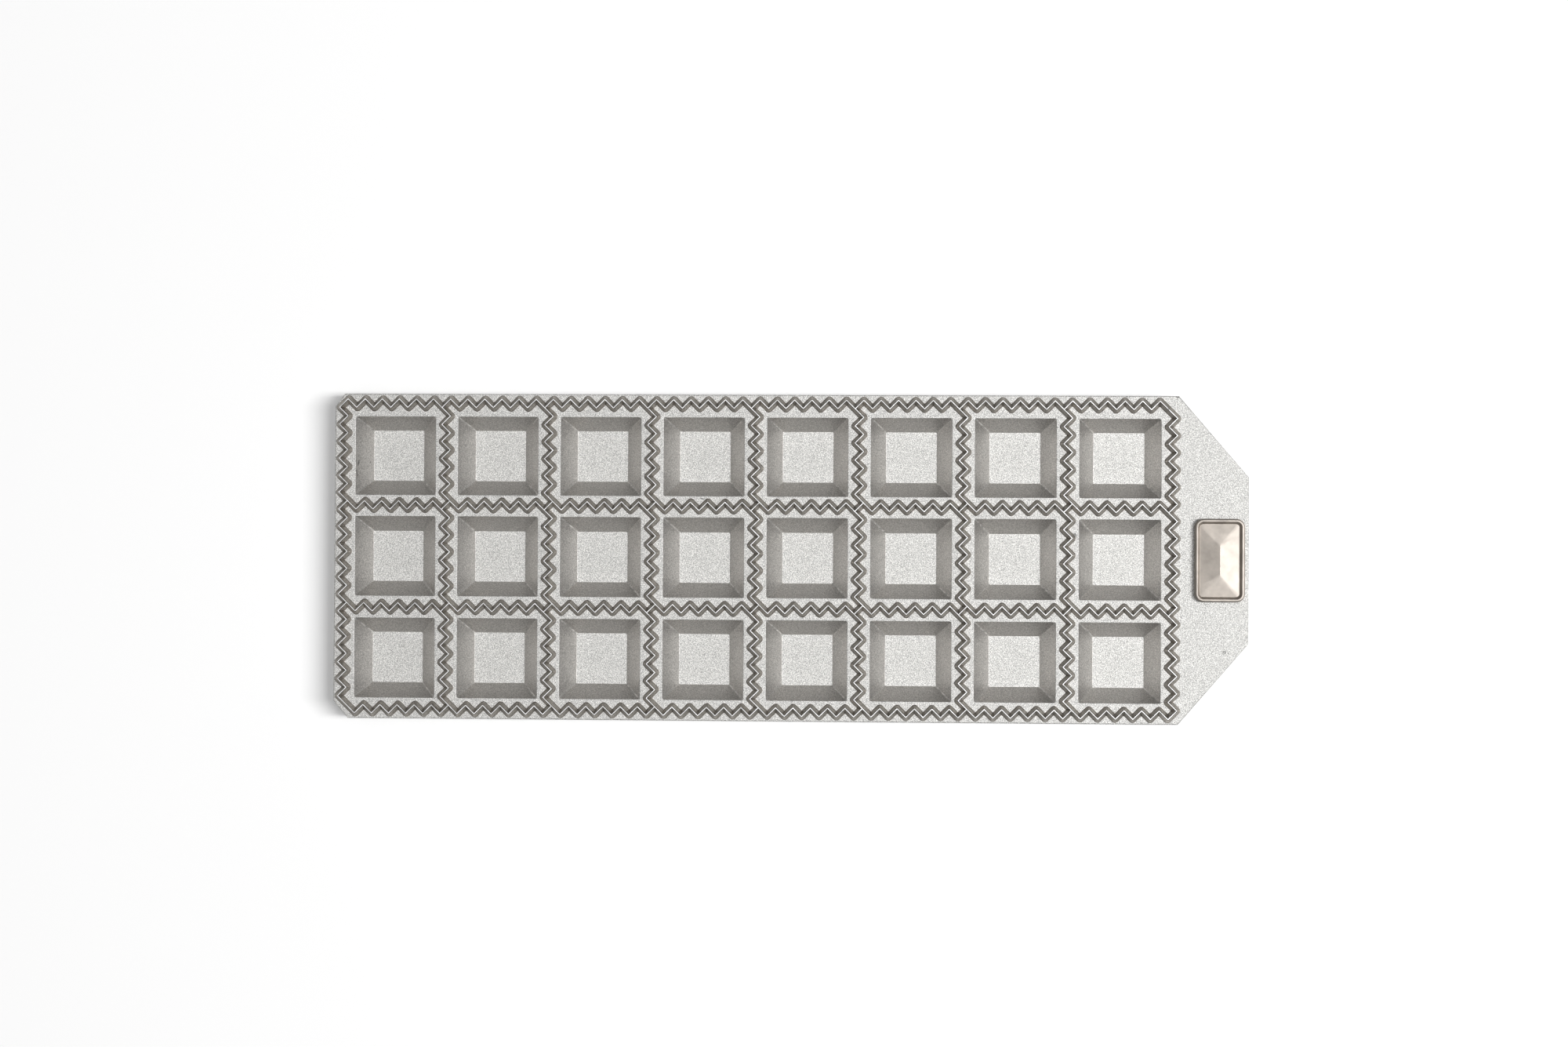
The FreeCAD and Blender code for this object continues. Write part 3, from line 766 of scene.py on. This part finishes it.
class TABLET_OT_casting(bpy.types.Operator):
    """Build the casting with its ridges and pockets"""

    bl_idname = "tablet.casting"
    bl_label = "Casting"

    def execute(self, context):
        size = context.scene.tablet_sizes
        finish = context.scene.tablet_finish
        top = CASTING_HIGH.z - size.ridge_height
        shell = Shell()
        add_lower_casting(shell, size, top)
        add_cells(shell, size, top)
        add_outer_ridge(shell, size, top)
        mesh = shell.mesh("casting")
        finish_mesh(mesh, fill_finish=BLASTED)
        show(mesh, casting_metals(finish), ["mould_plate"])
        return {"FINISHED"}


PLATE_ARC_STEPS = 12
PLATE_SIDE_STEPS = 8
PLATE_CORNER_STEPS = 16
# shares of the edge easing: at the underside, at the outer and inner edge of the rim, and at its foot
PLATE_EASE_SHARES = np.array([1 / 7, 1, 1 / 2, 1 / 4])
PIN_ARC_STEPS = 3
PIN_SIDES = 32


class TABLET_OT_plate(bpy.types.Operator):
    """Build the blank plate: a raised rim round a hipped field, and two pins below"""

    bl_idname = "tablet.plate"
    bl_label = "Blank plate"

    def execute(self, context):
        size = context.scene.plate_sizes
        half = np.array([PLATE_HIGH.x - PLATE_LOW.x, PLATE_HIGH.y - PLATE_LOW.y]) / 2
        centre = (np.array(PLATE_LOW) + np.array(PLATE_HIGH))[:2] / 2
        base = PLATE_HIGH.z - size.height
        reach = half.min()
        field = size.height - size.recess
        foot = size.rim + size.recess / 2
        edges = eased(
            [
                (reach, 0.0),
                (0.0, 0.0),
                (0.0, size.height),
                (size.rim, size.height),
                (foot, field),
                (reach, field + size.crown),
            ],
            PLATE_EASE_SHARES * size.edge_ease,
            PLATE_ARC_STEPS,
        )
        profile = np.vstack([(reach, 0.0), edges, (reach, field + size.crown)])
        inset = profile[:, 0]
        level = profile[:, 1]
        corner = np.clip(size.corner - inset, 0, None)
        share, facing = section_path(PLATE_SIDE_STEPS, PLATE_CORNER_STEPS)
        grid = squared(
            share, facing, half - inset[:, None], corner, np.column_stack([level, level])
        )
        shell = Shell()
        shell.add_rings(grid + (*centre, base), 0)
        radius = size.pin_diameter / 2
        depth = PLATE_LOW.z - base
        pin = np.array([(0, depth), (radius, depth), (radius, size.edge_ease), (0, size.edge_ease)])
        arcs = eased(pin, [size.edge_ease / 2] * 2, PIN_ARC_STEPS)
        pin = np.vstack([pin[:1], arcs, pin[-1:]])
        for side in (-1, 1):
            place = (centre[0], centre[1] + side * size.pin_spacing / 2, base)
            shell.add_rings(lathed(pin, PIN_SIDES) + place, 0)
        mesh = shell.mesh("blank_plate")
        finish_mesh(mesh, sharp_angle=FACET_ANGLE)
        show(mesh, [chrome(context.scene.tablet_finish)], ["badge_plate"])
        return {"FINISHED"}


FOOT_ARC_STEPS = 4
FOOT_SIDES = 64


class TABLET_OT_feet(bpy.types.Operator):
    """Build the four rubber feet with their stems"""

    bl_idname = "tablet.feet"
    bl_label = "Feet"

    def execute(self, context):
        size = context.scene.foot_sizes
        disc = (FOOT_HIGH.x - FOOT_LOW.x) / 2
        stem = size.stem_diameter / 2
        top = FOOT_HIGH.z
        outline = [
            (0.0, 0.0),
            (disc, 0.0),
            (disc, size.disc_height),
            (stem, size.disc_height),
            (stem, top),
            (0.0, top),
        ]
        arcs = eased(outline, [size.ease] * 4, FOOT_ARC_STEPS)
        profile = np.vstack([outline[0], arcs, outline[-1]])
        material = rubber(context.scene.tablet_finish)
        for node in FEET:
            low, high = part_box(node)
            shell = Shell()
            place = ((low.x + high.x) / 2, (low.y + high.y) / 2, low.z)
            shell.add_rings(lathed(profile, FOOT_SIDES) + place, 0)
            mesh = shell.mesh(f"rubber_{node}")
            finish_mesh(mesh)
            show(mesh, [material], [node])
        return {"FINISHED"}


PAPER_LIFT = 0.13


def paper(finish):
    """Matte white paper. To the eye, and in reflections, it is lifted to full white where it is lit."""
    material, nodes, links, shader = new_material("white_paper", finish.paper, 0.0, 0.9)
    shader.inputs["Specular IOR Level"].default_value = 0.0
    path = nodes.new("ShaderNodeLightPath")
    seen = nodes.new("ShaderNodeMath")
    seen.operation = "MAXIMUM"
    links.new(path.outputs["Is Camera Ray"], seen.inputs[0])
    links.new(path.outputs["Is Glossy Ray"], seen.inputs[1])
    lift = nodes.new("ShaderNodeEmission")
    lift.inputs["Color"].default_value = WHITE
    strength = nodes.new("ShaderNodeMath")
    strength.operation = "MULTIPLY"
    strength.inputs[1].default_value = PAPER_LIFT
    links.new(seen.outputs[0], strength.inputs[0])
    links.new(strength.outputs[0], lift.inputs["Strength"])
    both = nodes.new("ShaderNodeAddShader")
    links.new(shader.outputs[0], both.inputs[0])
    links.new(lift.outputs[0], both.inputs[1])
    links.new(both.outputs[0], nodes["Material Output"].inputs["Surface"])
    return material


def add_lamp(name, place, wide, high, power):
    """A soft rectangular lamp that faces straight down."""
    data = bpy.data.lights.new(name, "AREA")
    data.shape = "RECTANGLE"
    data.size = wide
    data.size_y = high
    data.energy = power
    lamp = bpy.data.objects.new(name, data)
    lamp.location = place
    bpy.context.scene.collection.objects.link(lamp)


FLOOR_RADIUS = 6.0
FLOOR_SIDES = 64
SENSOR_WIDTH = 36.0


class TABLET_OT_studio(bpy.types.Operator):
    """Set up the floor, the lamps and the camera"""

    bl_idname = "tablet.studio"
    bl_label = "Studio"

    def execute(self, context):
        scene = context.scene
        studio = scene.studio_settings
        disc = lathed(np.array([(0.0, 0.0), (FLOOR_RADIUS, 0.0)]), FLOOR_SIDES)[:, ::-1]
        shell = Shell()
        shell.add_rings(disc, 0)
        mesh = shell.mesh("paper_floor")
        finish_mesh(mesh)
        mesh.materials.append(paper(scene.tablet_finish))
        floor = bpy.data.objects.new("paper_floor", mesh)
        scene.collection.objects.link(floor)

        add_lamp("overhead", (-0.2, 0.0, 3.4), wide=5.2, high=4.4, power=studio.overhead_power)
        add_lamp("strip", (2.0, -0.04, 3.2), wide=2.2, high=0.6, power=studio.key_power)

        world = bpy.data.worlds.new("room")
        scene.world = world
        world.use_nodes = True
        nodes = world.node_tree.nodes
        links = world.node_tree.links
        backdrop = nodes["Background"]
        path = nodes.new("ShaderNodeLightPath")
        level = nodes.new("ShaderNodeMapRange")
        level.inputs["To Min"].default_value = studio.room
        level.inputs["To Max"].default_value = 1.0
        links.new(path.outputs["Is Camera Ray"], level.inputs["Value"])
        links.new(level.outputs["Result"], backdrop.inputs["Strength"])
        backdrop.inputs["Color"].default_value = WHITE

        data = bpy.data.cameras.new("camera")
        data.lens = studio.lens
        data.sensor_width = SENSOR_WIDTH
        camera = bpy.data.objects.new("camera", data)
        camera.location = studio.camera_place
        camera.rotation_euler = studio.camera_turn
        scene.collection.objects.link(camera)
        scene.camera = camera
        scene.view_settings.view_transform = "Standard"
        return {"FINISHED"}


class TABLET_PT_panel(bpy.types.Panel):
    """The tablet's sizes and finish, and the buttons that build it"""

    bl_idname = "TABLET_PT_panel"
    bl_label = "Ravioli tablet"
    bl_space_type = "VIEW_3D"
    bl_region_type = "UI"
    bl_category = "Tablet"

    def draw(self, context):
        for name in SETTINGS:
            box = self.layout.box()
            group = getattr(context.scene, name)
            for item in type(group).__annotations__:
                box.prop(group, item)
        for operator in OPERATORS:
            self.layout.operator(operator.bl_idname)


SETTINGS = {
    "tablet_sizes": TabletSizes,
    "plate_sizes": PlateSizes,
    "foot_sizes": FootSizes,
    "tablet_finish": TabletFinish,
    "studio_settings": StudioSettings,
}
OPERATORS = (TABLET_OT_casting, TABLET_OT_plate, TABLET_OT_feet, TABLET_OT_studio)


def register():
    """Make the settings, operators and panel known, and give the scene its settings."""
    for item in (*SETTINGS.values(), *OPERATORS, TABLET_PT_panel):
        bpy.utils.register_class(item)
    for name, group in SETTINGS.items():
        setattr(bpy.types.Scene, name, PointerProperty(type=group))


def unregister():
    """Take away all that was registered."""
    for name in SETTINGS:
        delattr(bpy.types.Scene, name)
    for item in reversed((*SETTINGS.values(), *OPERATORS, TABLET_PT_panel)):
        bpy.utils.unregister_class(item)


def main():
    """Register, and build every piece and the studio."""
    register()
    bpy.ops.tablet.casting()
    bpy.ops.tablet.plate()
    bpy.ops.tablet.feet()
    bpy.ops.tablet.studio()


if __name__ == "__main__":
    main()
